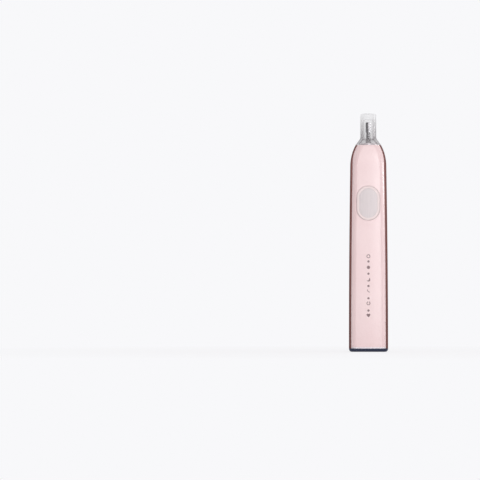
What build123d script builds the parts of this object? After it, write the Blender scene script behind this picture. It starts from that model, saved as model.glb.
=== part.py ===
from build123d import *
import os
from math import sqrt

# A slim, upright skin-scrubber handle with a swinging steel drive shaft under a clear cap.
# Millimetres. +Z runs up the handle to the shaft's tip, the button side faces -Y, and the
# origin is at the bottom centre of the base.

# ---- Handle form -------------------------------------------------------------------
body_height = 157.0           # flat top of the handle, where the cap stands
shoulder_length = 15.7        # the sides curve in over this last stretch
foot_half_width = 14.85
waist_half_width = 13.7       # where the shoulders start
shoulder_width_drop = 3.6     # how far each side comes in from there to the top
foot_half_depth = 12.6
waist_half_depth = 12.0
shoulder_depth_drop = 1.8
face_crown = 0.7              # how far the front and back bow out across their width
front_corner = 4.0            # radius of the long front edges
back_corner = 8.0
top_corner = 6.0              # radius that all four edges reach at the top
body_spans = 4                # lofted spans below the shoulder
shoulder_spans = 4            # and above it

# ---- Shells ------------------------------------------------------------------------
cover_step = 1.7              # side frame stands this far proud of the front cover
cover_step_top = 0.9
rear_step = 0.25              # and this far proud of the rear cover
side_wall = 2.75              # outside of the frame to the cavity
face_wall = 1.5               # front or back face to the cavity
top_wall = 1.8
front_parting = -6.5          # Y of the seam between front cover and frame
back_parting = 1.5            # Y of the seam between frame and rear cover
crown_back = 6.5              # Y to which the frame's top plate reaches under the collar
crown_half_width = 8.2
seam = 0.06                   # gap left along every fixed seam
frame_rounding = 0.5          # edges of the frame along its seams
cover_rounding = 0.3          # and of both covers
top_rounding = 0.4            # top edge of the front cover

# ---- Base --------------------------------------------------------------------------
base_height = 2.6
base_rounding = 2.2
trim_height = 1.0
spigot_height = 6.0
spigot_wall = 1.2
spigot_gap = 0.15
seal_groove_height = 1.2
seal_groove_depth = 0.7
seal_rise = 2.6               # groove's height above the base
well_radius = 3.6             # charging well
well_depth = 11.0
well_wall = 1.0
base_screw_spread = 9.0
base_screw_radius = 0.8
base_screw_head_radius = 1.5
base_screw_head_height = 1.2
base_screw_length = 7.5
screw_gap = 0.05
head_recess = 0.4             # screw head's depth below the surface

# ---- Charging coil -----------------------------------------------------------------
bobbin_height = 9.0
bobbin_core_wall = 0.7
bobbin_flange = 0.9
bobbin_radius = 7.35
coil_inset = 0.25             # winding stays this far inside the bobbin's flanges
ferrite_radius = 6.0
ferrite_thickness = 1.2

# ---- Drive shaft and neck ----------------------------------------------------------
head_radius = 2.0             # round drive end that a scrubbing head pushes on to
head_length = 7.8
head_flat = 0.47              # depth of the flat on the drive end
head_flat_turn = -40.0        # degrees from +X to the way that the flat faces
head_chamfer = 0.4
shaft_radius = 1.5
shaft_exposed = 17.75         # top of the handle to the shaft's tip
collar_radius = 7.0
collar_height = 1.6
collar_sleeve_radius = 5.5
collar_bore_radius = 4.2
collar_web_bore_radius = 2.6
collar_web = 1.8
collar_pocket = 1.1           # depth of the boot's seat below the handle's top
collar_skirt = 4.7            # sleeve's length below the handle's top
clip_thickness = 1.0
clip_groove = 0.5
clip_radius = 6.8
clip_mouth = 3.0
collar_seal_inner = 5.9
collar_seal_outer = 6.7
collar_seal_depth = 0.6
boot_foot_height = 1.6
boot_base_radius = 2.9
boot_lip_radius = 1.8
boot_top = 5.7                # boot's lip above the handle's top
running_gap = 0.05

# ---- Clear cap ---------------------------------------------------------------------
cap_height = 24.15
cap_radius = 6.1
cap_bore_radius = 3.75
cap_crown = 4.3               # solid thickness over the cavity
cap_crown_rounding = 0.9
cap_cavity_rounding = 1.6
cap_skirt_radius = 9.8
cap_skirt_lip = 0.35
cap_flare_height = 5.4        # top of the flared skirt above the handle
cap_flare_rounding = 3.0
cap_socket_gap = 0.1
cap_socket_depth = 1.9
cap_seat_gap = 0.05

# ---- Motor -------------------------------------------------------------------------
motor_top = 8.7               # can's upper end below the handle's top
motor_length = 30.0
motor_radius = 7.5
can_wall = 0.6
bell_thickness = 1.5
nose_radius = 3.9
nose_top = 3.2                # bearing nose's tip below the handle's top
bearing_radius = 3.0
bearing_length = 3.0
bearing_shoulder = 0.5
rear_boss_radius = 4.0
rear_boss_length = 2.6
stack_length = 16.0
stack_rise = 7.0              # lamination stack's bottom above the can's
yoke_wall = 0.55
pole_half_width = 1.6
pole_root = 0.2               # pole's end stays this far inside the yoke's outside
pole_gap_radius = 3.85
pole_shoe_radius = 4.5
pole_shoe_half_width = 3.1
coil_outer_x = 5.2
coil_half_width = 3.0
coil_overhang = 1.8
magnet_radius = 3.5
rotor_core_radius = 2.4
rotor_core_overhang = 1.0     # beyond the magnets at each end
magnet_gap_half_width = 0.35
bell_bore_gap = 0.2           # the bell's bore around the shaft, beyond its bearing
fit_gap = 0.02                # between pressed or bonded round faces
damper_wall = 0.8
damper_margin = 3.0
terminal_spread = 3.5
terminal_length = 2.5

# ---- Circuit board and battery -----------------------------------------------------
board_setback = 2.9           # cover's inside to the board's front
board_thickness = 1.0
board_half_width = 9.0
board_foot = 3.0              # from the charger chip's middle down to the board's foot
board_gap = 0.8               # between the board and the motor
standoff = 1.0
standoff_radius = 1.8
spine_thickness = 1.2
board_screw_radius = 0.8
board_screw_head_radius = 1.4
board_screw_head_height = 0.8
board_screw_length = 2.9
board_screw_spread = 6.4
board_screw_drop = 17.7       # from the button's middle down to the upper screws
controller_size = 6.0
controller_thickness = 0.9
charger_size = 3.0
charger_drop = 5.7            # from the light shield down to the charger chip's middle
chip_thickness = 0.8
part_width = 1.6
part_length = 3.0
part_spread = 5.6
part_pitch = 5.0
part_rows = 3
part_drop = 7.2               # from the upper screws down to the top row of parts
terminal_width = 0.7
terminal_thickness = 0.6
battery_radius = 7.05         # 14650 lithium cell
battery_length = 65.0
battery_bottom = 24.0
battery_gap = 0.35
battery_rounding = 0.6
battery_cap_radius = 2.8
battery_cap_height = 0.8
tab_thickness = 0.2
tab_half_width = 2.0
pad_thickness = 0.9
pad_radius = 6.3
bulkhead_thickness = 2.0
chassis_gap = 0.15
post_radius = 1.6
window_half_width = 6.0       # opening in the spine for the motor leads
window_drop = 10.3            # from the motor down to that opening's foot
window_ledge = 1.5            # shelf left behind that opening
post_hole_depth = 9.5
cradle_wall = 1.3
lead_radius = 0.45
lead_bend = 2.0
coil_lead_spread = 3.0

# ---- Button ------------------------------------------------------------------------
button_drop = 5.6             # from the motor down to the button's middle
button_width = 17.9           # opening in the front cover
button_length = 26.4
button_gap = 0.22
button_proud = 0.2
button_rim = 2.0
button_edge = 0.5
button_travel = 0.45
button_lip = 0.5              # retaining lip wider than the opening
button_lip_thickness = 0.8
button_lip_gap = 0.1
pad_depth = 1.0
pad_sink = 0.12               # the pad's face lies this far below the rim's
switch_size = 4.4
switch_height = 1.3
button_post_radius = 1.65     # post behind the button that meets the plunger
plunger_radius = 1.1
plunger_proud = 0.55
plunger_gap = 0.04

# ---- Mode lights and marks ---------------------------------------------------------
light_count = 5
top_light = 68.5
light_pitch = 9.3
light_radius = 0.85
light_flange_radius = 1.3
light_flange = 0.6
led_width = 1.6
led_length = 0.8
led_height = 0.7
light_air = 0.15
shield_half_width = 2.6
shield_end = 2.6
shield_hole_radius = 1.1
shield_gap = 0.1
mark_depth = 0.25
mark_line = 0.55              # stroke of a line mark
mark_radius = 1.45
mark_drop = 4.5               # a mark's centre below its own light
lifted_from = 2               # the crescent and the marks below it
mark_lift = 0.7               # sit this much higher
first_mark_rise = 3.9         # the first mark's centre above the top light
disc_mark_radius = 1.25
crescent_shift = 0.8          # the crescent's cutting circle, to the left and up
bow_radius = 2.2              # the arc mark's outside
bow_shift = 1.1
heart_lobe = 0.75
heart_lobe_shift = 0.68
heart_side = 1.9

past = 1.0                    # cutting shapes run this far past what they cut


shoulder_height = body_height - shoulder_length


def blend(z, low, high):
    """A value that stays low up to the shoulder and reaches high at the top."""
    share = max(z - shoulder_height, 0.0) / shoulder_length
    return low + (high - low) * share


def shoulder_drop(z, total):
    """How far a circular shoulder has come in at height z."""
    radius = (shoulder_length ** 2 + total ** 2) / (2 * total)
    return radius - sqrt(radius ** 2 - max(z - shoulder_height, 0.0) ** 2)


def half_width(z):
    bow = (foot_half_width - waist_half_width) * (z / shoulder_height) ** 2
    return foot_half_width - bow - shoulder_drop(z, shoulder_width_drop)


def half_depth(z):
    bow = (foot_half_depth - waist_half_depth) * (z / shoulder_height) ** 2
    return foot_half_depth - bow - shoulder_drop(z, shoulder_depth_drop)


def outline(z, step, depth_step, crown):
    """The handle's rounded section at height z, taken in by a step at the sides and faces."""
    side = half_width(z) - blend(z, *step)
    depth = half_depth(z) - depth_step
    front = blend(z, front_corner, top_corner) - depth_step
    back = blend(z, back_corner, top_corner) - depth_step
    edge = depth - crown
    with BuildSketch(Plane.XY.offset(z)) as section:
        with BuildLine():
            face_line(-side, side, -edge, -depth)
            Line((side, -edge), (side, edge))
            face_line(side, -side, edge, depth)
            Line((-side, edge), (-side, -edge))
        make_face()
        fillet(section.vertices().group_by(Axis.Y)[0], front)
        fillet(section.vertices().group_by(Axis.Y)[-1], back)
    return section.sketch


def face_line(start, end, edge, middle):
    """The front or back line of a section, bowed out from its edges to its middle."""
    if edge == middle:
        return Line((start, edge), (end, edge))
    return ThreePointArc((start, edge), (0, middle), (end, edge))


def form(step, depth_step=0.0, crown=face_crown):
    """The handle's whole lofted form: the body from the floor up, and its shoulders."""
    rise = shoulder_height / body_spans
    body = [rise * i for i in range(body_spans + 1)]
    rise = shoulder_length / shoulder_spans
    shoulder = [shoulder_height + rise * i for i in range(shoulder_spans + 1)]
    lower = loft([outline(z, step, depth_step, crown) for z in body])
    upper = loft([outline(z, step, depth_step, crown) for z in shoulder])
    return lower + upper


def block(x, y, z):
    """A box between a low and a high value on each axis."""
    size = [high - low for low, high in (x, y, z)]
    middle = [(high + low) / 2 for low, high in (x, y, z)]
    return Pos(*middle) * Box(*size)


def slab(y, z):
    """A box between two Y and two Z values that is wider than the handle."""
    reach = 2 * foot_half_width
    return block((-reach, reach), y, z)


def rod(radius, bottom, top, x=0.0, y=0.0):
    """A round bar along Z."""
    return Pos(x, y, (bottom + top) / 2) * Cylinder(radius, top - bottom)


def tube(outer, inner, bottom, top, x=0.0, y=0.0):
    return rod(outer, bottom, top, x, y) - rod(inner, bottom, top, x, y)


def pin(radius, front, back, x, z):
    """A round bar along Y."""
    bar = Cylinder(radius, back - front)
    return Pos(x, (front + back) / 2, z) * Rot(90, 0, 0) * bar


def stadium(width, length, front, back, z):
    """A flat-sided oval plate that faces -Y, centred at height z."""
    face = Plane((0, back, z), x_dir=(1, 0, 0), z_dir=(0, -1, 0))
    return extrude(face * SlotOverall(length, width, rotation=90), back - front)


def group(solids):
    return Compound(children=list(solids))


# ---- Levels worked out from the sizes above ----------------------------------------
far = 4 * foot_half_depth
cover_foot = base_height + trim_height
spigot_top = base_height + spigot_height
bobbin_bottom = base_height + seam
bobbin_top = bobbin_bottom + bobbin_height
cap_bottom = body_height + cap_seat_gap
motor_high = body_height - motor_top
motor_low = motor_high - motor_length
nose_high = body_height - nose_top
window_bottom = motor_low - window_drop
button_centre = motor_low - button_drop
stack_low = motor_low + stack_rise
stack_high = stack_low + stack_length
shaft_tip = body_height + shaft_exposed
board_front = -(waist_half_depth - face_wall) + board_setback
board_back = board_front + board_thickness
spine_front = board_back + standoff
spine_back = spine_front + spine_thickness
battery_y = spine_back + battery_gap + battery_radius
battery_top = battery_bottom + battery_length
bulkhead_low = battery_bottom - tab_thickness - pad_thickness - bulkhead_thickness
bulkhead_high = battery_top + battery_cap_height + tab_thickness + pad_thickness
button_face = -half_depth(button_centre)
light_heights = [top_light - light_pitch * i for i in range(light_count)]
shield_low = light_heights[-1] - shield_end
shield_high = light_heights[0] + shield_end
charger_centre = shield_low - charger_drop
board_bottom = charger_centre - board_foot
board_top = motor_low - board_gap
upper_screws = button_centre - board_screw_drop
board_screw_heights = (battery_bottom, upper_screws)
top_parts = upper_screws - part_drop
outer_step = (0.0, 0.0)
front_step = (cover_step, cover_step_top)
back_step = (rear_step, rear_step)
inner_step = (side_wall, side_wall)

whole_form = form(outer_step)
front_form = form(front_step)
rear_form = form(back_step)
button_form = form(front_step, -button_proud)
pad_form = form(front_step, pad_sink - button_proud)
cavity = form(inner_step, face_wall, 0.0) & slab((-far, far), (0, body_height - top_wall))


# ---- Shells ------------------------------------------------------------------------
def seam_edges(solid, y, step):
    """A shell's outer edges in the plane of a seam. The step is how far its side is set in."""
    found = []
    for edge in solid.edges():
        box = edge.bounding_box()
        middle = edge.center()
        wall = half_width(middle.Z) - (blend(middle.Z, *step) + side_wall) / 2
        in_plane = abs(box.min.Y - y) < fit_gap and abs(box.max.Y - y) < fit_gap
        rises = box.max.Z - box.min.Z > 2 * trim_height
        if in_plane and rises and abs(middle.X) > wall:
            found.append(edge)
    return found


def top_edges(solid, y):
    """A front shell's top edges, apart from the one along its seam at y."""
    top = solid.edges().group_by(Axis.Z)[-1]
    return [edge for edge in top if edge.center().Y < y - top_wall]


def button_hole():
    front = button_face - 2 * button_edge
    return stadium(button_width, button_length, front, front_parting, button_centre)


def make_front_cover():
    room = slab((-far, front_parting - seam), (cover_foot, body_height))
    cover = front_form & room
    cover -= cavity
    cover = fillet(seam_edges(cover, front_parting - seam, front_step), cover_rounding)
    cover = fillet(top_edges(cover, front_parting), top_rounding)
    cover -= button_hole()
    for z in light_heights:
        cover -= pin(light_radius + fit_gap, -far, front_parting, 0, z)
    for mark in mark_prisms():
        cover -= mark
    return cover


def make_rear_cover():
    cover = rear_form & slab((back_parting + seam, far), (cover_foot, body_height))
    cover -= cavity
    cover = fillet(seam_edges(cover, back_parting + seam, back_step), cover_rounding)
    return cover - crown_tongue(seam)


def crown_tongue(gap):
    """The part of the frame's top plate that lies in the rear cover's top."""
    half = crown_half_width + gap
    low = body_height - top_wall - gap
    return block((-half, half), (back_parting, crown_back + gap), (low, body_height))


def make_side_frame():
    crown_low = body_height - top_wall
    room = slab((front_parting, back_parting), (base_height, body_height))
    frame = whole_form & (room + crown_tongue(0))
    frame -= cavity
    for y in (front_parting, back_parting):
        frame = fillet(seam_edges(frame, y, outer_step), frame_rounding)
    neck = collar_sleeve_radius + running_gap
    frame -= rod(neck, crown_low - past, body_height + past)
    step = (cover_step - seam, cover_step - seam)
    sill = extrude(outline(0, step, 0, face_crown), cover_foot + seam)
    return frame - sill


# ---- Base --------------------------------------------------------------------------
def base_ring(z_low, z_high, gap_out, gap_in):
    """A ring that follows the cavity's wall at the foot of the handle."""
    outer = outline(0, (side_wall + gap_out, 0), face_wall + gap_out, 0.0)
    inner = outline(0, (side_wall + gap_in, 0), face_wall + gap_in, 0.0)
    return Pos(0, 0, z_low) * extrude(outer - inner, z_high - z_low)


def seal_levels():
    low = base_height + seal_rise
    return low, low + seal_groove_height


def make_base_cap():
    base = extrude(outline(0, outer_step, 0, face_crown), base_height)
    base = fillet(base.faces().sort_by(Axis.Z)[0].edges(), base_rounding)
    spigot_inner = spigot_gap + spigot_wall
    base += base_ring(base_height, spigot_top, spigot_gap, spigot_inner)
    low, high = seal_levels()
    base -= base_ring(low, high, 0, spigot_gap + seal_groove_depth)
    base += rod(well_radius + well_wall, base_height, well_depth + well_wall)
    base -= rod(well_radius, -past, well_depth)
    head_top = head_recess + base_screw_head_height
    for x in (-base_screw_spread, base_screw_spread):
        base -= rod(base_screw_head_radius + 2 * screw_gap, -past, head_top, x)
        base -= rod(base_screw_radius + screw_gap, 0, base_height + past, x)
    return base


def make_base_trim():
    front = outline(0, front_step, 0, face_crown)
    rear = outline(0, back_step, 0, face_crown)
    ring = extrude(front, trim_height) & slab((-far, back_parting), (-past, far))
    ring += extrude(rear, trim_height) & slab((back_parting, far), (-past, far))
    ring -= extrude(outline(0, inner_step, face_wall, 0.0), trim_height)
    return Pos(0, 0, base_height) * ring


def make_base_seal():
    low, high = seal_levels()
    return base_ring(low + seam, high - seam, seam, spigot_gap + seal_groove_depth - seam)


def screw(head_radius, head_height, radius, length):
    """A socket-head screw that points up, with the head's underside at height zero."""
    body = rod(head_radius, -head_height, 0) + rod(radius, 0, length)
    socket = extrude(RegularPolygon(head_radius / 2, 6), head_height / 2)
    return body - Pos(0, 0, -head_height) * socket


def make_base_screws():
    one = screw(base_screw_head_radius, base_screw_head_height,
                base_screw_radius, base_screw_length)
    height = head_recess + base_screw_head_height
    return group(Pos(x, 0, height) * one for x in (-base_screw_spread, base_screw_spread))


# ---- Charging coil -----------------------------------------------------------------
def bobbin_core_radius():
    return well_radius + well_wall + running_gap + bobbin_core_wall


def make_coil_bobbin():
    core = bobbin_core_radius()
    spool = rod(core, bobbin_bottom, bobbin_top)
    spool += rod(bobbin_radius, bobbin_bottom, bobbin_bottom + bobbin_flange)
    spool += rod(bobbin_radius, bobbin_top - bobbin_flange, bobbin_top)
    return spool - rod(core - bobbin_core_wall, 0, bobbin_top + past)


def make_charging_coil():
    low = bobbin_bottom + bobbin_flange + seam
    high = bobbin_top - bobbin_flange - seam
    return tube(bobbin_radius - coil_inset, bobbin_core_radius() + fit_gap, low, high)


def ferrite_bottom():
    return max(bobbin_top, well_depth + well_wall) + seam


def make_ferrite_disc():
    low = ferrite_bottom()
    return rod(ferrite_radius, low, low + ferrite_thickness)


# ---- Neck --------------------------------------------------------------------------
def make_neck_collar():
    top = body_height + collar_height
    skirt = body_height - collar_skirt
    web_top = body_height - collar_pocket
    collar = rod(collar_radius, body_height, top)
    collar = chamfer(collar.faces().sort_by(Axis.Z)[-1].edges(), head_chamfer)
    collar += rod(collar_sleeve_radius, skirt, body_height)
    collar -= rod(collar_web_bore_radius, skirt, top)
    collar -= rod(collar_bore_radius, web_top, top)
    collar -= rod(collar_bore_radius, skirt, web_top - collar_web)
    collar -= tube(collar_seal_outer, collar_seal_inner,
                   body_height, body_height + collar_seal_depth)
    low, high = clip_levels()
    groove = collar_sleeve_radius - clip_groove
    return collar - tube(collar_sleeve_radius + past, groove, low, high)


def clip_levels():
    high = body_height - top_wall - seam
    return high - clip_thickness, high


def make_collar_clip():
    low, high = clip_levels()
    groove = collar_sleeve_radius - clip_groove
    ring = tube(clip_radius, groove + fit_gap, low + fit_gap, high)
    mouth = (-clip_mouth / 2, clip_mouth / 2)
    return ring - block(mouth, (0, clip_radius + past), (low, high))


def make_collar_seal():
    low = body_height
    high = body_height + collar_seal_depth - seam
    return tube(collar_seal_outer - seam, collar_seal_inner + seam, low, high)


def make_shaft_boot():
    low = body_height - collar_pocket
    foot_top = low + boot_foot_height
    top = body_height + boot_top
    bore = shaft_radius + running_gap
    foot_radius = collar_bore_radius - seam
    with BuildSketch(Plane.XZ) as half:
        with BuildLine():
            Polyline((bore, top), (bore, low), (foot_radius, low),
                     (foot_radius, foot_top), (boot_base_radius, foot_top))
            TangentArc((boot_lip_radius, top), (boot_base_radius, foot_top),
                       tangent=(0, -1))
            Line((boot_lip_radius, top), (bore, top))
        make_face()
    return revolve(half.sketch, Axis.Z)


# ---- Clear cap ---------------------------------------------------------------------
def make_clear_cap():
    top = cap_bottom + cap_height
    flare = cap_bottom + cap_flare_height
    cavity_top = top - cap_crown
    socket = collar_radius + cap_socket_gap
    socket_top = cap_bottom + cap_socket_depth
    with BuildSketch(Plane.XZ) as wall:
        with BuildLine():
            outer = [(0, top), (cap_radius, top), (cap_radius, flare),
                     (cap_skirt_radius, cap_bottom + cap_skirt_lip)]
            FilletPolyline(*outer, radius=[cap_crown_rounding, cap_flare_rounding])
            Polyline(outer[-1], (cap_skirt_radius, cap_bottom), (socket, cap_bottom),
                     (socket, socket_top), (cap_bore_radius, flare + cap_skirt_lip))
            inner = [(cap_bore_radius, flare + cap_skirt_lip),
                     (cap_bore_radius, cavity_top), (0, cavity_top)]
            FilletPolyline(*inner, radius=[cap_cavity_rounding])
            Line((0, cavity_top), (0, top))
        make_face()
    return revolve(wall.sketch, Axis.Z)


# ---- Drive shaft and motor ---------------------------------------------------------
def bearing_levels():
    """Low and high end of the front bearing, then of the rear one."""
    front = nose_high - bearing_shoulder
    rear = motor_low + bearing_shoulder
    return (front - bearing_length, front), (rear, rear + bearing_length)


def make_drive_shaft():
    low = motor_low + bearing_shoulder + running_gap
    neck = shaft_tip - head_length
    head = rod(head_radius, neck, shaft_tip)
    head = chamfer(head.faces().sort_by(Axis.Z)[-1].edges(), head_chamfer)
    flat = block((head_radius - head_flat, head_radius), (-far, far), (neck, shaft_tip))
    head -= Rot(0, 0, head_flat_turn) * flat
    return head + rod(shaft_radius, low, neck)


def make_motor_can():
    return tube(motor_radius, motor_radius - can_wall, motor_low, motor_high)


def make_front_bell():
    inside = motor_radius - can_wall - fit_gap
    bell = rod(inside, motor_high - bell_thickness, motor_high)
    bell += rod(nose_radius, motor_high, nose_high)
    (low, high), _ = bearing_levels()
    bell -= rod(bearing_radius + fit_gap, low, high)
    return bell - rod(shaft_radius + bell_bore_gap, 0, body_height)


def make_rear_bell():
    inside = motor_radius - can_wall - fit_gap
    bell = rod(inside, motor_low, motor_low + bell_thickness)
    bell += rod(rear_boss_radius, motor_low, motor_low + bell_thickness + rear_boss_length)
    _, (low, high) = bearing_levels()
    bell -= rod(bearing_radius + fit_gap, low, high + past)
    for x in (-terminal_spread, terminal_spread):
        bell -= terminal(x, running_gap)
    return bell


def terminal(x, gap):
    """One flat motor terminal, grown by a gap on every side."""
    y = rear_boss_radius + terminal_width
    across = terminal_width / 2 + gap
    through = terminal_thickness / 2 + gap
    return block((x - across, x + across), (y - through, y + through),
                 (motor_low - terminal_length, motor_low + bell_thickness + gap))


def make_front_bearing():
    (low, high), _ = bearing_levels()
    return tube(bearing_radius, shaft_radius + running_gap, low + fit_gap, high - fit_gap)


def make_rear_bearing():
    _, (low, high) = bearing_levels()
    return tube(bearing_radius, shaft_radius + running_gap, low + fit_gap, high - fit_gap)


def make_stator_core():
    outside = motor_radius - can_wall - fit_gap
    yoke = tube(outside, outside - yoke_wall, stack_low, stack_high)
    shoe = tube(pole_shoe_radius, pole_gap_radius, stack_low, stack_high)
    reach = (-pole_shoe_half_width, pole_shoe_half_width)
    shoe &= block((-far, far), reach, (stack_low, stack_high))
    root = outside - pole_root
    bar = block((-root, root), (-pole_half_width, pole_half_width), (stack_low, stack_high))
    bar -= rod(pole_gap_radius, stack_low, stack_high)
    return yoke + shoe + bar


def make_stator_coils():
    inner_x = pole_shoe_radius + seam
    half = pole_half_width + 2 * seam
    coils = []
    for side in (-1, 1):
        x = sorted((side * inner_x, side * coil_outer_x))
        coil = block(x, (-coil_half_width, coil_half_width),
                     (stack_low - coil_overhang, stack_high + coil_overhang))
        hole = block(x, (-half, half), (stack_low - seam, stack_high + seam))
        coils.append(coil - hole)
    return group(coils)


def make_rotor_core():
    low = stack_low - rotor_core_overhang
    high = stack_high + rotor_core_overhang
    return tube(rotor_core_radius, shaft_radius + fit_gap, low, high)


def make_rotor_magnets():
    ring = tube(magnet_radius, rotor_core_radius + fit_gap, stack_low, stack_high)
    slot = magnet_gap_half_width
    ring -= block((-far, far), (-slot, slot), (stack_low, stack_high))
    ring -= block((-slot, slot), (-far, far), (stack_low, stack_high))
    return ring


def make_motor_damper():
    low = motor_low + damper_margin
    high = motor_high - damper_margin
    return tube(motor_radius + fit_gap + damper_wall, motor_radius + fit_gap, low, high)


def make_motor_terminals():
    return group(terminal(x, 0) for x in (-terminal_spread, terminal_spread))


# ---- Chassis, battery and board ----------------------------------------------------
def make_chassis():
    top = motor_high - damper_margin
    rim = motor_radius + fit_gap + damper_wall + seam
    back = battery_y + battery_radius
    spine = slab((spine_front, spine_back), (bulkhead_low, motor_low + damper_margin))
    for low in (bulkhead_low, bulkhead_high):
        spine += slab((spine_front, back), (low, low + bulkhead_thickness))
    arms = tube(rim + cradle_wall, rim, motor_low - bulkhead_thickness, top)
    shelf = slab((spine_front, rim), (motor_low - bulkhead_thickness, motor_low - seam))
    hoop = (arms & slab((spine_front, far), (0, top))) + shelf
    body = (spine + hoop) & form((side_wall + chassis_gap,) * 2, face_wall + chassis_gap, 0.0)
    body -= rod(rim, motor_low - seam, top + past)
    window = (-window_half_width, window_half_width)
    through_spine = (spine_front - past, spine_back + past)
    body -= block(window, (spine_front - past, rim - window_ledge), (window_bottom, motor_low))
    body -= block(window, through_spine, (window_bottom, top + past))
    for z in (battery_bottom - tab_thickness, battery_top + battery_cap_height):
        half = tab_half_width + seam
        body -= block((-half, half), through_spine, (z - seam, z + tab_thickness + seam))
    for x in (-base_screw_spread, base_screw_spread):
        body += rod(post_radius, base_height + seam, bulkhead_low + seam, x)
        body -= rod(base_screw_radius + screw_gap, 0, post_hole_depth, x)
    for x, z in board_screw_places():
        body += pin(standoff_radius, board_back, spine_front + seam, x, z)
        body -= pin(board_screw_radius + fit_gap, board_front - past, spine_back + past, x, z)
    return body


def make_battery_cell():
    cell = rod(battery_radius, battery_bottom, battery_top, 0, battery_y)
    cell = fillet(cell.faces().sort_by(Axis.Z)[0].edges(), battery_rounding)
    cap = rod(battery_cap_radius, battery_top, battery_top + battery_cap_height, 0, battery_y)
    return cell + cap


def make_battery_tabs():
    half = tab_half_width
    tabs = []
    for z in (battery_bottom - tab_thickness, battery_top + battery_cap_height):
        tabs.append(block((-half, half), (board_back, battery_y + half),
                          (z, z + tab_thickness)))
    return group(tabs)


def make_battery_pads():
    pads = []
    low = battery_bottom - tab_thickness - pad_thickness
    for z in (low, bulkhead_high - pad_thickness):
        pads.append(rod(pad_radius, z, z + pad_thickness, 0, battery_y))
    return group(pads)


def board_screw_places():
    sides = (-board_screw_spread, board_screw_spread)
    return [(x, z) for z in board_screw_heights for x in sides]


def make_circuit_board():
    half = (-board_half_width, board_half_width)
    board = block(half, (board_front, board_back), (board_bottom, board_top))
    for x, z in board_screw_places():
        board -= pin(board_screw_radius + screw_gap, board_front - past, board_back + past, x, z)
    return board


def make_board_screws():
    one = screw(board_screw_head_radius, board_screw_head_height,
                board_screw_radius, board_screw_length)
    places = board_screw_places()
    return group(Pos(x, board_front, z) * Rot(-90, 0, 0) * one for x, z in places)


def chip(x, z, width, length, height):
    """A board component on the board's front."""
    return block((x - width / 2, x + width / 2), (board_front - height, board_front),
                 (z - length / 2, z + length / 2))


def make_controller_chip():
    middle = (top_light + button_centre) / 2
    return chip(0, middle, controller_size, controller_size, controller_thickness)


def make_charger_chip():
    return chip(0, charger_centre, charger_size, charger_size, chip_thickness)


def make_board_parts():
    parts = []
    for row in reversed(range(part_rows)):
        z = top_parts - part_pitch * row
        for x in (-part_spread, part_spread):
            parts.append(chip(x, z, part_width, part_length, chip_thickness))
    return group(parts)


def make_mode_leds():
    return group(chip(0, z, led_width, led_length, led_height) for z in light_heights)


def make_light_shield():
    front = -half_depth(light_heights[0]) + face_wall + light_flange + 2 * shield_gap
    bar = block((-shield_half_width, shield_half_width), (front, board_front),
                (shield_low, shield_high))
    for z in light_heights:
        bar -= pin(shield_hole_radius, -far, board_front + past, 0, z)
    return bar


def make_tact_switch():
    body = chip(0, button_centre, switch_size, switch_size, switch_height)
    back = board_front - 2 * fit_gap
    return body - pin(plunger_radius + running_gap, -far, back, 0, button_centre)


def make_motor_leads():
    leads = []
    start_z = motor_low - terminal_length
    turn_z = (start_z + window_bottom) / 2
    y = rear_boss_radius + terminal_width
    for x in (-terminal_spread, terminal_spread):
        path = FilletPolyline((x, y, start_z), (x, y, turn_z), (x, board_back, turn_z),
                              radius=lead_bend)
        profile = Plane((x, y, start_z), z_dir=(0, 0, -1)) * Circle(lead_radius)
        leads.append(sweep(profile, path=path))
    return group(leads)


def make_coil_leads():
    y = (board_front + board_back) / 2
    low = bobbin_top
    leads = [rod(lead_radius, low, board_bottom, side * coil_lead_spread, y)
             for side in (-1, 1)]
    return group(leads)


# ---- Button ------------------------------------------------------------------------
def button_levels():
    """Y of the button's front, its retaining lip's front and its back."""
    front = button_face - button_proud
    lip = button_face + face_wall + button_lip_gap
    return front, lip, lip + button_lip_thickness


def make_button_rim():
    front, lip, back = button_levels()
    width = button_width - 2 * button_gap
    length = button_length - 2 * button_gap
    body = stadium(width, length, front - past, back, button_centre) & button_form
    body = fillet(body.faces().sort_by(Axis.Y)[0].outer_wire().edges(), button_edge)
    grow = 2 * button_lip
    body += stadium(button_width + grow, button_length + grow, lip, back, button_centre)
    pocket = (button_width - 2 * button_rim, button_length - 2 * button_rim)
    body -= stadium(*pocket, front - past, front + pad_depth, button_centre)
    return body + pin(button_post_radius, back, plunger_front() - plunger_gap, 0, button_centre)


def make_button_pad():
    front = button_levels()[0]
    width = button_width - 2 * button_rim - 2 * seam
    length = button_length - 2 * button_rim - 2 * seam
    pad = stadium(width, length, front - past, front + pad_depth - seam, button_centre)
    return pad & pad_form


def plunger_front():
    return board_front - switch_height - plunger_proud


def make_switch_plunger():
    back = board_front - button_travel - 3 * running_gap
    return pin(plunger_radius, plunger_front(), back, 0, button_centre)


# ---- Mode lights and marks ---------------------------------------------------------
def make_mode_lights():
    pipes = []
    for z in light_heights:
        inner = -half_depth(z) + face_wall
        pipe = pin(light_radius, -far, board_front - led_height - light_air, 0, z)
        pipe += pin(light_flange_radius, inner + seam, inner + light_flange, 0, z)
        pipes.append((pipe & front_form).solids()[0])
    return group(pipes)


def ring_mark():
    return Circle(mark_radius) - Circle(mark_radius - mark_line)


def disc_mark():
    return Circle(disc_mark_radius)


def crescent_mark():
    return Circle(mark_radius) - Pos(-crescent_shift, crescent_shift) * Circle(mark_radius)


def bow_mark():
    ring = Circle(bow_radius) - Circle(bow_radius - mark_line)
    quarter = Pos(-bow_radius, -bow_radius) * Rectangle(2 * bow_radius, 2 * bow_radius)
    return Pos(bow_shift, bow_shift) * (ring & quarter)


def loop_mark():
    return ring_mark() - Pos(0, mark_radius) * Rectangle(mark_line, mark_radius)


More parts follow.
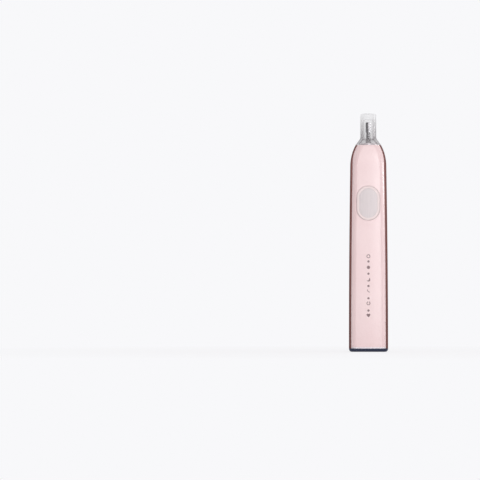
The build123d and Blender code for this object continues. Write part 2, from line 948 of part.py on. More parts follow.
def heart_mark():
    lobe = Circle(heart_lobe)
    lobes = [Pos(side * heart_lobe_shift, heart_lobe_shift) * lobe for side in (-1, 1)]
    return lobes[0] + lobes[1] + Rot(0, 0, 45) * Rectangle(heart_side, heart_side)


def mark_places():
    """Each mark's sketch and the height of its centre."""
    places = [(ring_mark(), top_light + first_mark_rise)]
    shapes = [disc_mark(), crescent_mark(), bow_mark(), loop_mark(), heart_mark()]
    for index, shape in enumerate(shapes):
        lift = mark_lift if index >= lifted_from else 0.0
        places.append((shape, light_heights[index] - mark_drop + lift))
    return places


def mark_prisms():
    """Each mark as a prism that runs from outside the cover to the mark's depth."""
    prisms = []
    for shape, z in mark_places():
        depth = -half_depth(z) + mark_depth
        face = Plane((0, depth, z), x_dir=(1, 0, 0), z_dir=(0, -1, 0))
        prisms.append(extrude(face * shape, 2 * mark_depth))
    return prisms


def make_mode_marks():
    marks = []
    for prism in mark_prisms():
        marks += (prism & front_form).solids()
    return group(marks)


PIECES = {
    "front_cover": make_front_cover,
    "rear_cover": make_rear_cover,
    "side_frame": make_side_frame,
    "base_cap": make_base_cap,
    "base_trim": make_base_trim,
    "base_seal": make_base_seal,
    "base_screws": make_base_screws,
    "coil_bobbin": make_coil_bobbin,
    "charging_coil": make_charging_coil,
    "ferrite_disc": make_ferrite_disc,
    "coil_leads": make_coil_leads,
    "neck_collar": make_neck_collar,
    "collar_clip": make_collar_clip,
    "collar_seal": make_collar_seal,
    "shaft_boot": make_shaft_boot,
    "clear_cap": make_clear_cap,
    "drive_shaft": make_drive_shaft,
    "rotor_core": make_rotor_core,
    "rotor_magnets": make_rotor_magnets,
    "front_bearing": make_front_bearing,
    "rear_bearing": make_rear_bearing,
    "motor_can": make_motor_can,
    "motor_front_bell": make_front_bell,
    "motor_rear_bell": make_rear_bell,
    "stator_core": make_stator_core,
    "stator_coils": make_stator_coils,
    "motor_damper": make_motor_damper,
    "motor_terminals": make_motor_terminals,
    "motor_leads": make_motor_leads,
    "chassis": make_chassis,
    "battery_cell": make_battery_cell,
    "battery_tabs": make_battery_tabs,
    "battery_pads": make_battery_pads,
    "circuit_board": make_circuit_board,
    "board_screws": make_board_screws,
    "controller_chip": make_controller_chip,
    "charger_chip": make_charger_chip,
    "board_parts": make_board_parts,
    "mode_leds": make_mode_leds,
    "light_shield": make_light_shield,
    "mode_lights": make_mode_lights,
    "mode_marks": make_mode_marks,
    "tact_switch": make_tact_switch,
    "switch_plunger": make_switch_plunger,
    "button_rim": make_button_rim,
    "button_pad": make_button_pad,
}

os.makedirs("parts", exist_ok=True)
for name, make in PIECES.items():
    export_step(make(), f"parts/{name}.step")
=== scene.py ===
"""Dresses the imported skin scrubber: its finishes, its fine detail and a plain studio."""
import math

import bmesh
import bpy
from bpy.props import FloatProperty, FloatVectorProperty, PointerProperty
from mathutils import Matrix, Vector


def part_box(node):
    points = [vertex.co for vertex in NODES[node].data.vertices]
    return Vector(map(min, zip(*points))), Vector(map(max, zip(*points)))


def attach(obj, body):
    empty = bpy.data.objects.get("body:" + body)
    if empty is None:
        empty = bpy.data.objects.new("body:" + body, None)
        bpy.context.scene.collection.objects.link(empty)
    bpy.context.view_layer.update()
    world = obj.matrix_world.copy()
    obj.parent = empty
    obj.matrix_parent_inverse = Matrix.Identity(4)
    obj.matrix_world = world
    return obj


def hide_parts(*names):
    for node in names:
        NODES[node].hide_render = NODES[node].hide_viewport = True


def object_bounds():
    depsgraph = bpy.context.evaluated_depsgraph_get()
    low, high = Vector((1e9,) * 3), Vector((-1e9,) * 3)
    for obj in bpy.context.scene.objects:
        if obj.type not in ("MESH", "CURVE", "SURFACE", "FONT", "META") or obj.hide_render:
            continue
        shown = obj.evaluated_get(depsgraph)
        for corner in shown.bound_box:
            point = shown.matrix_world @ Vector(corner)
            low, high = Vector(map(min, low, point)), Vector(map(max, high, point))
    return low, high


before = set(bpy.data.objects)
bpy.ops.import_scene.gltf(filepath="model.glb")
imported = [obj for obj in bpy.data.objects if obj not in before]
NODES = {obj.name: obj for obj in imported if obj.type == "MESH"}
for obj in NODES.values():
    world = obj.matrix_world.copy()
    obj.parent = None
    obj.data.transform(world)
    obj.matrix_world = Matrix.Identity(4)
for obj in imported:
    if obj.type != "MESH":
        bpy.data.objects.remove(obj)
cad_low, cad_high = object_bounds()

bl_info = {
    "name": "Skin Scrubber",
    "version": (1, 0, 0),
    "blender": (4, 5, 0),
    "location": "View3D > Sidebar > Scrubber",
    "description": "Finishes, fine detail and a studio for a skin scrubber handle",
    "category": "Object",
}

MM = 0.001
CAP_TOP = cad_high.z
PATCH_SPREAD = 12             # colour patches are this many grains wide
TURN_STEPS = 4                # surface points on one turn of a winding
TURN_DIP = 0.3                # how deep the groove between two turns is, in turns
ROUND_STEPS = 19              # points on a quarter of a round winding
CORNER_STEPS = 7              # points on a corner of a motor coil
SENSOR_WIDTH = 36.0           # of the camera, in its own millimetres
FAR_CLIP = 20.0
FLOOR_HALF = 4.0
FLOOR_SHADE_REACH = (0.05, 0.4)  # the floor's shading fades out between these distances
WALL_SLANT = (0.08, 0.3)      # from a face that looks thin to one that looks like a wall
SKIRT_SLANT = (0.45, 0.85)    # the same on the cap's flared skirt
SKIRT_OPACITY = (0.2, 0.9)    # of the skirt at those two slants
BORE_SLANT = (0.6, 0.92)      # the same on the cap's bore
BORE_OPACITY = (0.0, 0.6)     # of the bore at those two slants
INNER_CORNER_SHARE = 0.2      # a motor coil's inner corners, as a share of its outer ones
NECK_LAMP_RISE = 0.04         # the neck's lamp stands this far above the shaft's tip


def shade(red, green, blue):
    """A screen colour, 0 to 255, as linear values."""
    values = []
    for channel in (red, green, blue):
        share = channel / 255
        low = share / 12.92
        high = ((share + 0.055) / 1.055) ** 2.4
        values.append(low if share <= 0.04045 else high)
    return tuple(values)


def size_property(name, description, default):
    return FloatProperty(name=name, description=description, default=default,
                         min=0.0, unit="LENGTH", precision=5)


def share_property(name, description, default):
    return FloatProperty(name=name, description=description, default=default,
                         min=0.0, max=1.0, subtype="FACTOR")


def colour_property(name, description, default):
    return FloatVectorProperty(name=name, description=description, default=default,
                               min=0.0, max=1.0, size=3, subtype="COLOR")


def level_property(name, description, default):
    return FloatProperty(name=name, description=description, default=default, min=0.0)


# ---- Settings ----------------------------------------------------------------------
class ShellSettings(bpy.types.PropertyGroup):
    paint: colour_property(
        "Paint", "Colour of both covers", shade(239, 214, 214))
    paint_deep: colour_property(
        "Deep paint", "Colour that the pearl pigment drifts to", shade(234, 205, 206))
    paint_roughness: share_property(
        "Paint roughness", "Roughness of the satin paint", 0.3)
    # The side frame's dark colour is painted shadow: it makes dark lines down both sides of
    # the covers.
    frame_shadow_colour: colour_property(
        "Frame", "Colour of the anodised side frame", shade(86, 57, 55))
    grain: size_property(
        "Grain", "Size of one pearl flake", 0.35 * MM)


class BaseSettings(bpy.types.PropertyGroup):
    metal: colour_property(
        "Base", "Colour of the polished base", shade(58, 62, 78))
    trim: colour_property(
        "Trim", "Colour of the pale trim ring", shade(236, 228, 233))
    seal: colour_property(
        "Seal", "Colour of the rubber seals and pads", shade(38, 38, 40))
    screw: colour_property(
        "Screw", "Colour of the screws' steel", shade(178, 178, 182))


class NeckSettings(bpy.types.PropertyGroup):
    cap: colour_property(
        "Cap", "Tint of the clear cap", shade(152, 146, 150))
    cap_clear: share_property(
        "Cap opacity at the top", "How much light a face stops at the cap's top", 0.08)
    # A higher opacity at the skirt than at the top makes the grey cap darker downwards:
    # painted shade.
    cap_shaded_opacity: share_property(
        "Cap opacity at the skirt", "How much light a face stops at the cap's skirt", 0.3)
    wall_clear: share_property(
        "Wall opacity at the top", "How much light a slanting wall stops at the top", 0.1)
    # The same painted shade on the slanting walls: darker toward the foot.
    wall_shaded_opacity: share_property(
        "Wall opacity at the skirt", "How much light a slanting wall stops at the foot", 0.8)
    flare: size_property(
        "Flare", "Height of the cap's flared skirt", 5.4 * MM)
    bore: size_property(
        "Bore", "Radius inside which the cap's faces are those of its bore", 4.2 * MM)
    steel: colour_property(
        "Steel", "Colour of the polished drive shaft", shade(108, 107, 109))
    collar: colour_property(
        "Collar", "Colour of the satin neck collar", shade(222, 214, 217))
    boot: colour_property(
        "Boot", "Colour of the shaft's rubber boot", shade(168, 166, 168))
    # The boot's near-black top band is painted shade where the shaft enters it.
    boot_top_shade: colour_property(
        "Boot lip", "Colour of the boot's dark sealing lip", shade(12, 12, 14))
    top_shade_height: size_property(
        "Lip height", "How far the dark lip reaches down the boot", 2.0 * MM)


class ButtonSettings(bpy.types.PropertyGroup):
    rim: colour_property(
        "Rim", "Colour of the button's rim", shade(243, 227, 226))
    pad: colour_property(
        "Pad", "Colour of the button's silver pad", shade(211, 202, 203))
    lens: colour_property(
        "Lens", "Colour of the mode lights", shade(128, 104, 106))
    print: colour_property(
        "Print", "Colour of the mode marks", shade(134, 111, 113))
    switch: colour_property(
        "Switch", "Colour of the switch and the other black plastic", shade(44, 44, 47))


class InsideSettings(bpy.types.PropertyGroup):
    plastic: colour_property(
        "Plastic", "Colour of the chassis and the coil's bobbin", shade(232, 232, 227))
    copper: colour_property(
        "Copper", "Colour of the windings", shade(196, 112, 66))
    bronze: colour_property(
        "Bronze", "Colour of the bearings and terminals", shade(176, 134, 82))
    lamination: colour_property(
        "Laminations", "Colour of the motor's laminated cores", shade(122, 122, 126))
    ferrite: colour_property(
        "Ferrite", "Colour of the charging coil's ferrite", shade(56, 56, 60))
    magnet: colour_property(
        "Magnets", "Colour of the nickel plating on the magnets", shade(186, 184, 178))
    lead: colour_property(
        "Leads", "Colour of the wires' insulation", shade(176, 34, 34))
    wrap: colour_property(
        "Cell wrap", "Colour of the battery's sleeve", shade(92, 132, 176))
    board: colour_property(
        "Board", "Colour of the circuit board's solder mask", shade(30, 92, 62))


class WindingSettings(bpy.types.PropertyGroup):
    wire: size_property(
        "Coil wire", "Width of one turn on the charging coil", 0.354 * MM)
    coil_bore: size_property(
        "Coil bore", "Inner radius of the charging coil", 5.37 * MM)
    stator_wire: size_property(
        "Stator wire", "Width of one turn on the motor's coils", 0.32 * MM)
    stator_thickness: size_property(
        "Stator thickness", "Thickness of one motor coil along the pole", 0.64 * MM)
    pole_half_width: size_property(
        "Pole half width", "Half width of the opening round the pole", 1.72 * MM)
    pole_half_length: size_property(
        "Pole half length", "Half length of the opening round the pole", 8.06 * MM)
    corner: size_property(
        "Corner", "Radius of a motor coil's outer corners", 1.4 * MM)


class StudioSettings(bpy.types.PropertyGroup):
    distance: size_property(
        "Distance", "Camera's distance from the handle's axis", 2.2)
    view_width: size_property(
        "View width", "Width that the camera sees at the handle's axis", 0.3659)
    aside: size_property(
        "Aside", "How far to the handle's left the camera looks", 0.0979)
    height: size_property(
        "Height", "Camera's height above the floor", 0.03)
    sight_height: size_property(
        "Sight height", "Height that the camera looks at on the handle", 0.0851)
    backdrop: colour_property(
        "Backdrop", "Colour of the floor and the background", shade(248, 248, 250))
    front_level: level_property(
        "Front", "Brightness of the broad soft box behind the camera", 1.7)
    key_level: level_property(
        "Key", "Brightness of the tall soft box on the right", 1.95)
    side_level: level_property(
        "Side", "Brightness of the soft box at the right side", 0.85)
    neck_level: level_property(
        "Neck", "Brightness of the strip that glints on the drive shaft", 6.0)
    top_level: level_property(
        "Top", "Brightness of the soft box overhead", 1.3)
    back_level: level_property(
        "Back", "Brightness of the soft box above and behind the handle", 0.7)
    ambient: level_property(
        "Ambient", "Brightness of the room", 0.32)
    ambient_colour: colour_property(
        "Ambient colour", "Colour of the room's light", (1.0, 0.93, 0.93))
    near_floor: share_property(
        "Plain floor", "How plain the floor looks at the handle's foot", 0.75)


# ---- Materials ---------------------------------------------------------------------
class Finish:
    """A procedural material under construction. Sizes are in metres on the piece."""

    def __init__(self, name, colour, roughness, **sockets):
        self.material = bpy.data.materials.new(name)
        self.material.use_nodes = True
        self.tree = self.material.node_tree
        self.shader = self.tree.nodes["Principled BSDF"]
        self.colour = (*colour[:3], 1.0)
        self.shader.inputs["Base Color"].default_value = self.colour
        self.shader.inputs["Roughness"].default_value = roughness
        for socket, value in sockets.items():
            self.shader.inputs[socket.replace("_", " ")].default_value = value

    def node(self, kind, **values):
        made = self.tree.nodes.new(kind)
        for name, value in values.items():
            setattr(made, name, value)
        return made

    def place(self, stretch=(1, 1, 1)):
        """The point on the piece, stretched."""
        where = self.node("ShaderNodeTexCoord").outputs["Object"]
        mapping = self.node("ShaderNodeMapping")
        mapping.inputs["Scale"].default_value = stretch
        self.tree.links.new(where, mapping.inputs["Vector"])
        return mapping.outputs["Vector"]

    def height(self):
        """The height on the piece."""
        split = self.node("ShaderNodeSeparateXYZ")
        self.tree.links.new(self.place(), split.inputs["Vector"])
        return split.outputs["Z"]

    def maths(self, operation, first, second):
        """Arithmetic on two values. Each is a number or another node's output."""
        made = self.node("ShaderNodeMath", operation=operation)
        for socket, value in zip(made.inputs, (first, second)):
            if isinstance(value, bpy.types.NodeSocket):
                self.tree.links.new(value, socket)
            else:
                socket.default_value = value
        return made.outputs["Value"]

    def between(self, fac, first, second):
        """A value that goes from first to second as fac goes from 0 to 1."""
        step = self.maths("SUBTRACT", second, first)
        return self.maths("ADD", first, self.maths("MULTIPLY", fac, step))

    def noise(self, size, stretch=(1, 1, 1), detail=3.0, roughness=0.55):
        """Soft noise whose lumps are about one size wide."""
        made = self.node("ShaderNodeTexNoise")
        made.inputs["Scale"].default_value = 1 / size
        made.inputs["Detail"].default_value = detail
        made.inputs["Roughness"].default_value = roughness
        self.tree.links.new(self.place(stretch), made.inputs["Vector"])
        return made.outputs["Fac"]

    def spread(self, fac, low, high, start=0.3, end=0.7):
        """A value that goes from low to high as fac goes from start to end."""
        made = self.node("ShaderNodeMapRange")
        for name, value in (("From Min", start), ("From Max", end),
                            ("To Min", low), ("To Max", high)):
            made.inputs[name].default_value = value
        self.tree.links.new(fac, made.inputs["Value"])
        return made.outputs["Result"]

    def blend(self, fac, first, second):
        """A colour between two others. Each is a colour or another node's output."""
        made = self.node("ShaderNodeMix", data_type="RGBA")
        self.tree.links.new(fac, made.inputs["Factor"])
        for socket, value in ((made.inputs[6], first), (made.inputs[7], second)):
            if isinstance(value, bpy.types.NodeSocket):
                self.tree.links.new(value, socket)
            else:
                socket.default_value = (*value[:3], 1.0)
        return made.outputs[2]

    def drive(self, socket, output):
        self.tree.links.new(output, self.shader.inputs[socket])

    def bump(self, height, depth):
        """Relief from a height output. The depth is between its 0 and its 1."""
        made = self.node("ShaderNodeBump")
        made.inputs["Strength"].default_value = 1.0
        made.inputs["Distance"].default_value = depth
        self.tree.links.new(height, made.inputs["Height"])
        self.drive("Normal", made.outputs["Normal"])


def mottled(name, colour, roughness, size, drift=0.06, relief=0.0, stretch=(1, 1, 1),
            **sockets):
    """A finish whose colour and roughness drift a little, with a fine relief."""
    finish = Finish(name, colour, roughness, **sockets)
    patches = finish.noise(size * PATCH_SPREAD, stretch)
    grains = finish.noise(size, stretch)
    darker = tuple(channel * (1 - drift) for channel in colour[:3])
    lighter = tuple(min(1.0, channel * (1 + drift)) for channel in colour[:3])
    drifted = finish.blend(finish.spread(patches, 0, 1), darker, lighter)
    grained = finish.blend(finish.spread(grains, 0, 1), darker, lighter)
    half = finish.spread(grains, 0.35, 0.65)
    finish.drive("Base Color", finish.blend(half, drifted, grained))
    low, high = roughness * 0.88, min(1.0, roughness * 1.12)
    finish.drive("Roughness", finish.spread(patches, low, high))
    if relief:
        finish.bump(grains, relief)
    return finish.material


def dress(name, material):
    """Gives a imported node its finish."""
    piece = NODES[name]
    piece.data.materials.clear()
    piece.data.materials.append(material)


# ---- Shells ------------------------------------------------------------------------
def pearl_paint(settings):
    finish = Finish("pearl_pink_paint", settings.paint, settings.paint_roughness,
                    Coat_Weight=0.8, Coat_Roughness=0.16, Coat_IOR=1.58)
    clouds = finish.spread(finish.noise(30 * MM), 0, 1)
    flakes = finish.spread(finish.noise(settings.grain, detail=1.0), 0.0, 0.5)
    base = finish.blend(clouds, settings.paint, settings.paint_deep)
    finish.drive("Base Color", finish.blend(flakes, base, settings.paint))
    rough = settings.paint_roughness
    finish.drive("Roughness", finish.spread(flakes, rough - 0.04, rough + 0.05, 0, 0.5))
    finish.bump(finish.noise(settings.grain * 2), 0.002 * MM)
    return finish.material


class SCRUBBER_OT_shells(bpy.types.Operator):
    """Finish the two covers and the side frame"""
    bl_idname = "scrubber.shells"
    bl_label = "Shells"

    def execute(self, context):
        settings = context.scene.scrubber_shell
        paint = pearl_paint(settings)
        dress("front_cover", paint)
        dress("rear_cover", paint)
        # Painted shadow: the frame's dark metal makes dark lines down both sides of the
        # covers.
        dress("side_frame", mottled("rose_frame_painted_shadow", settings.frame_shadow_colour, 0.24, 0.12 * MM,
                                    drift=0.1, relief=0.0012 * MM, stretch=(1, 1, 0.06),
                                    Metallic=1.0))
        return {"FINISHED"}


class SCRUBBER_OT_base(bpy.types.Operator):
    """Finish the base, its trim ring, its seal and its screws"""
    bl_idname = "scrubber.base"
    bl_label = "Base"

    def execute(self, context):
        settings = context.scene.scrubber_base
        dress("base_cap", mottled("polished_base", settings.metal, 0.16, 0.2 * MM,
                                  drift=0.08, relief=0.0008 * MM, Metallic=1.0))
        dress("base_trim", mottled("gloss_trim", settings.trim, 0.14, 0.4 * MM,
                                   drift=0.02, Coat_Weight=0.6, Coat_Roughness=0.06))
        dress("base_seal", mottled("seal_rubber", settings.seal, 0.6, 0.15 * MM,
                                   drift=0.15, relief=0.003 * MM))
        dress("base_screws", mottled("screw_steel", settings.screw, 0.28, 0.1 * MM,
                                     drift=0.08, relief=0.0015 * MM, Metallic=1.0))
        return {"FINISHED"}


# ---- Neck and cap ------------------------------------------------------------------
def clear_plastic(settings):
    """Clear at the crown and greyer toward the skirt: painted shade that darkens its lower
    part. Slanting walls look thicker.
    """
    low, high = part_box("clear_cap")
    finish = Finish("clear_cap_plastic", settings.cap, 0.16, Specular_IOR_Level=0.6)
    height = finish.height()
    edge = finish.node("ShaderNodeLayerWeight")
    edge.inputs["Blend"].default_value = 0.5
    slant = edge.outputs["Facing"]
    # Opacity rises from the crown to the skirt, so the grey cap darkens downwards: painted
    # shade.
    face = finish.spread(height, settings.cap_shaded_opacity, settings.cap_clear, low.z, high.z)
    wall = finish.spread(height, settings.wall_shaded_opacity, settings.wall_clear, low.z, high.z)
    upright = finish.between(finish.spread(slant, 0, 1, *WALL_SLANT), face, wall)
    skirt = finish.spread(slant, *SKIRT_OPACITY, *SKIRT_SLANT)
    flare_top = low.z + settings.flare
    flare = finish.spread(height, 1, 0, low.z + settings.flare * 0.7, flare_top)
    outer = finish.between(flare, upright, skirt)
    bore_line = finish.spread(slant, *BORE_OPACITY, *BORE_SLANT)
    radius = finish.node("ShaderNodeVectorMath", operation="LENGTH")
    finish.tree.links.new(finish.place((1, 1, 0)), radius.inputs[0])
    bore = finish.spread(radius.outputs["Value"], 1, 0, settings.bore, settings.bore * 1.1)
    finish.drive("Alpha", finish.between(bore, outer, bore_line))
    clouds = finish.noise(4 * MM, (1, 1, 0.4))
    finish.drive("Roughness", finish.spread(clouds, 0.1, 0.18))
    finish.bump(clouds, 0.004 * MM)
    return finish.material


def boot_rubber(settings):
    """Grey rubber with painted shade: a near-black band round its top, where the shaft
    enters.
    """
    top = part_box("shaft_boot")[1].z
    finish = Finish("boot_rubber", settings.boot, 0.3, Coat_Weight=1.0, Coat_Roughness=0.1,
                    Coat_IOR=1.6)
    grains = finish.noise(0.2 * MM)
    # Painted shade: the boot's top, where the shaft enters, turns near-black.
    lip = finish.spread(finish.height(), 0, 1, top - settings.top_shade_height,
                        top - settings.top_shade_height * 0.7)
    dull = tuple(channel * 0.9 for channel in settings.boot)
    body = finish.blend(finish.spread(grains, 0, 1), dull, settings.boot)
    finish.drive("Base Color", finish.blend(lip, body, settings.boot_top_shade))
    finish.drive("Roughness", finish.spread(grains, 0.26, 0.38))
    finish.bump(grains, 0.002 * MM)
    return finish.material


class SCRUBBER_OT_neck(bpy.types.Operator):
    """Finish the collar, the boot and the clear cap"""
    bl_idname = "scrubber.neck"
    bl_label = "Neck and cap"

    def execute(self, context):
        settings = context.scene.scrubber_neck
        dress("drive_shaft", mottled("polished_steel", settings.steel, 0.12, 0.12 * MM,
                                     drift=0.06, relief=0.0006 * MM, stretch=(1, 1, 0.2),
                                     Metallic=1.0))
        dress("neck_collar", mottled("collar_steel", settings.collar, 0.42, 0.12 * MM,
                                     drift=0.05, relief=0.0006 * MM, Metallic=1.0))
        dress("shaft_boot", boot_rubber(settings))
        dress("clear_cap", clear_plastic(settings))
        dress("collar_clip", bpy.data.materials["screw_steel"])
        dress("collar_seal", bpy.data.materials["seal_rubber"])
        return {"FINISHED"}


# ---- Button and marks --------------------------------------------------------------
def silver_pad(settings):
    finish = Finish("silver_pad", settings.pad, 0.34, Metallic=0.15)
    streaks = finish.noise(0.7 * MM, (1, 1, 0.05), detail=2.0)
    fine = finish.noise(0.14 * MM, (1, 1, 0.03))
    dim = tuple(channel * 0.86 for channel in settings.pad)
    both = finish.blend(finish.spread(streaks, 0, 1), dim, settings.pad)
    brushed = finish.blend(finish.spread(fine, 0, 0.5), both, settings.pad)
    finish.drive("Base Color", brushed)
    finish.drive("Roughness", finish.spread(streaks, 0.28, 0.4))
    finish.bump(fine, 0.003 * MM)
    return finish.material


class SCRUBBER_OT_button(bpy.types.Operator):
    """Finish the button, its switch, the mode lights and the marks"""
    bl_idname = "scrubber.button"
    bl_label = "Button and marks"

    def execute(self, context):
        settings = context.scene.scrubber_button
        dress("button_rim", mottled("soft_rim", settings.rim, 0.4, 0.2 * MM,
                                    drift=0.02, relief=0.002 * MM))
        dress("button_pad", silver_pad(settings))
        dress("mode_lights", mottled("mauve_lens", settings.lens, 0.2, 0.3 * MM,
                                     drift=0.06, Coat_Weight=0.5, Coat_Roughness=0.08))
        dress("mode_marks", mottled("mauve_print", settings.print, 0.45, 0.1 * MM,
                                    drift=0.08, relief=0.001 * MM))
        black = mottled("black_plastic", settings.switch, 0.5, 0.2 * MM,
                        drift=0.12, relief=0.002 * MM)
        for name in ("tact_switch", "switch_plunger"):
            dress(name, black)
        return {"FINISHED"}


# ---- Inside ------------------------------------------------------------------------
class SCRUBBER_OT_inside(bpy.types.Operator):
    """Finish the motor, the board, the battery and the chassis"""
    bl_idname = "scrubber.inside"
    bl_label = "Inside"

    def execute(self, context):
        settings = context.scene.scrubber_inside
        steel = bpy.data.materials["screw_steel"]
        black = bpy.data.materials["black_plastic"]
        rubber = bpy.data.materials["seal_rubber"]
        white = mottled("white_plastic", settings.plastic, 0.45, 0.3 * MM,
                        drift=0.04, relief=0.002 * MM)
        copper = mottled("winding_copper", settings.copper, 0.3, 0.2 * MM,
                         drift=0.1, relief=0.004 * MM, stretch=(0.2, 0.2, 1), Metallic=1.0)
        bronze = mottled("bearing_bronze", settings.bronze, 0.42, 0.1 * MM,
                         drift=0.14, relief=0.003 * MM, Metallic=1.0)
        lamination = mottled("lamination_steel", settings.lamination, 0.4, 0.35 * MM,
                             drift=0.14, relief=0.004 * MM, stretch=(0.1, 0.1, 1),
                             Metallic=1.0)
        ferrite = mottled("ferrite", settings.ferrite, 0.7, 0.15 * MM,
                          drift=0.2, relief=0.006 * MM)
        nickel = mottled("magnet_nickel", settings.magnet, 0.18, 0.2 * MM,
                         drift=0.05, relief=0.001 * MM, Metallic=1.0)
        lead = mottled("red_lead", settings.lead, 0.42, 0.3 * MM,
                       drift=0.06, relief=0.002 * MM)
        wrap = mottled("cell_wrap", settings.wrap, 0.22, 0.8 * MM,
                       drift=0.05, Coat_Weight=0.4, Coat_Roughness=0.1)
        mask = mottled("board_mask", settings.board, 0.35, 0.5 * MM,
                       drift=0.12, relief=0.004 * MM)
        finishes = {
            steel: ("motor_can", "motor_front_bell", "battery_tabs", "board_screws"),
            black: ("motor_rear_bell", "controller_chip", "charger_chip", "board_parts",
                    "light_shield"),
            rubber: ("motor_damper", "battery_pads"),
            white: ("coil_bobbin", "chassis", "mode_leds"),
            copper: ("charging_coil", "stator_coils"),
            bronze: ("front_bearing", "rear_bearing", "motor_terminals"),
            lamination: ("stator_core", "rotor_core"),
            ferrite: ("ferrite_disc",),
            nickel: ("rotor_magnets",),
            lead: ("motor_leads", "coil_leads"),
            wrap: ("battery_cell",),
            mask: ("circuit_board",),
        }
        for material, names in finishes.items():
            for name in names:
                dress(name, material)
        return {"FINISHED"}


# ---- Windings ----------------------------------------------------------------------
def rounded_loop(half_u, half_v, corner, steps):
    """Points round a rectangle with rounded corners, or a circle where all three agree."""
    points = []
    for quarter, (side_u, side_v) in enumerate(((1, 1), (-1, 1), (-1, -1), (1, -1))):
        for step in range(steps):
            angle = math.radians(90 * (quarter + step / (steps - 1)))
            points.append((side_u * (half_u - corner) + corner * math.cos(angle),
                           side_v * (half_v - corner) + corner * math.sin(angle)))
    return points


def turn_dips(turns):
    """Pairs along a layer of turns, 0 to 1, with how far the surface dips there, 0 to 1."""
    steps = TURN_STEPS * turns
    return [(i / steps, 1 - abs(math.sin(math.pi * i / TURN_STEPS)))
            for i in range(steps)]


def wound_section(turns_across, turns_along):
    """Points round a winding's section, both ways 0 to 1, with each outer turn bulging."""
    dip_across, dip_along = TURN_DIP / turns_across, TURN_DIP / turns_along
    rim = [(1 - dip_across * dip, dip_along + place * (1 - 2 * dip_along))
           for place, dip in turn_dips(turns_along)]
    top = [((1 - place) * (1 - dip_across), 1 - dip_along * dip)
           for place, dip in turn_dips(turns_across)]
    foot = [(place * (1 - dip_across), dip_along * dip)
            for place, dip in turn_dips(turns_across)]
    return rim + top + [(0, 1 - dip_along)] + foot


def wound_mesh(mesh, section, loop_at, place):
    """Adds one closed winding. Loop_at gives a share's loop, and place gives its points."""
    loops = []
    for across, along in section:
        loops.append([mesh.verts.new(place(u, v, along)) for u, v in loop_at(across)])
    for first, second in zip(loops, loops[1:] + loops[:1]):
        count = len(first)
        for i in range(count):
            j = (i + 1) % count
            mesh.faces.new((first[i], first[j], second[j], second[i]))


def add_winding(name, mesh, node, material):
    """Makes a winding that stands for a packed coil."""
    bmesh.ops.remove_doubles(mesh, verts=mesh.verts, dist=0.0005 * MM)
    bmesh.ops.recalc_face_normals(mesh, faces=mesh.faces)
    for face in mesh.faces:
        face.smooth = True
    data = bpy.data.meshes.new(name)
    mesh.to_mesh(data)
    mesh.free()
    winding = bpy.data.objects.new(name, data)
    bpy.context.scene.collection.objects.link(winding)
    data.materials.append(material)
    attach(winding, "handle")
    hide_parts(node)


class SCRUBBER_OT_windings(bpy.types.Operator):
    """Wind the charging coil and the motor's coils, turn by turn"""
    bl_idname = "scrubber.windings"
    bl_label = "Windings"

    def execute(self, context):
        settings = context.scene.scrubber_winding
        copper = bpy.data.materials["winding_copper"]
        self.wind_charging_coil(settings, copper)
        self.wind_motor_coils(settings, copper)
        return {"FINISHED"}

    def wind_charging_coil(self, settings, copper):
        low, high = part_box("charging_coil")
        bore, depth = settings.coil_bore, high.x - settings.coil_bore
        turns = round((high.z - low.z) / settings.wire)
        layers = round(depth / settings.wire)

        def loop_at(across):
            radius = bore + across * depth
            return rounded_loop(radius, radius, radius, ROUND_STEPS)

        def place(u, v, along):
            return (u, v, low.z + along * (high.z - low.z))

        mesh = bmesh.new()
        wound_mesh(mesh, wound_section(layers, turns), loop_at, place)
        add_winding("charging_winding", mesh, "charging_coil", copper)

    def wind_motor_coils(self, settings, copper):
        low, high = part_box("stator_coils")
        middle = (low.z + high.z) / 2
        thickness = settings.stator_thickness
        width = high.y - settings.pole_half_width
        length = high.z - middle - settings.pole_half_length
        turns = round(thickness / settings.stator_wire)
        layers = round(width / settings.stator_wire)
        inner_corner = INNER_CORNER_SHARE * settings.corner

        def loop_at(across):
            corner = inner_corner + across * (settings.corner - inner_corner)
            return rounded_loop(settings.pole_half_width + across * width,
                                settings.pole_half_length + across * length,
                                corner, CORNER_STEPS)

        mesh = bmesh.new()
        for side in (-1, 1):
            def place(u, v, along):
                return (side * (high.x - (1 - along) * thickness), u, middle + v)
            wound_mesh(mesh, wound_section(layers, turns), loop_at, place)
        add_winding("stator_windings", mesh, "stator_coils", copper)


# ---- Studio ------------------------------------------------------------------------
def seen_directly(tree):
    """1 for sight, gloss and clear plastic, which see a plain backdrop, and 0 for light."""
    path = tree.nodes.new("ShaderNodeLightPath")
    seen = path.outputs["Is Camera Ray"]
    for name in ("Is Glossy Ray", "Is Transmission Ray"):
        most = tree.nodes.new("ShaderNodeMath")
        most.operation = "MAXIMUM"
        tree.links.new(seen, most.inputs[0])
        tree.links.new(path.outputs[name], most.inputs[1])
        seen = most.outputs["Value"]
    return seen


def make_world(settings):
    world = bpy.data.worlds.new("studio")
    bpy.context.scene.world = world
    world.use_nodes = True
    tree = world.node_tree
    tree.nodes.clear()
    ambient = tree.nodes.new("ShaderNodeBackground")
    ambient.inputs["Color"].default_value = (*settings.ambient_colour, 1.0)
    ambient.inputs["Strength"].default_value = settings.ambient
    pale = tree.nodes.new("ShaderNodeBackground")
    pale.inputs["Color"].default_value = (*settings.backdrop, 1.0)
    mix = tree.nodes.new("ShaderNodeMixShader")
    out = tree.nodes.new("ShaderNodeOutputWorld")
    tree.links.new(seen_directly(tree), mix.inputs["Fac"])
    tree.links.new(ambient.outputs["Background"], mix.inputs[1])
    tree.links.new(pale.outputs["Background"], mix.inputs[2])
    tree.links.new(mix.outputs["Shader"], out.inputs["Surface"])


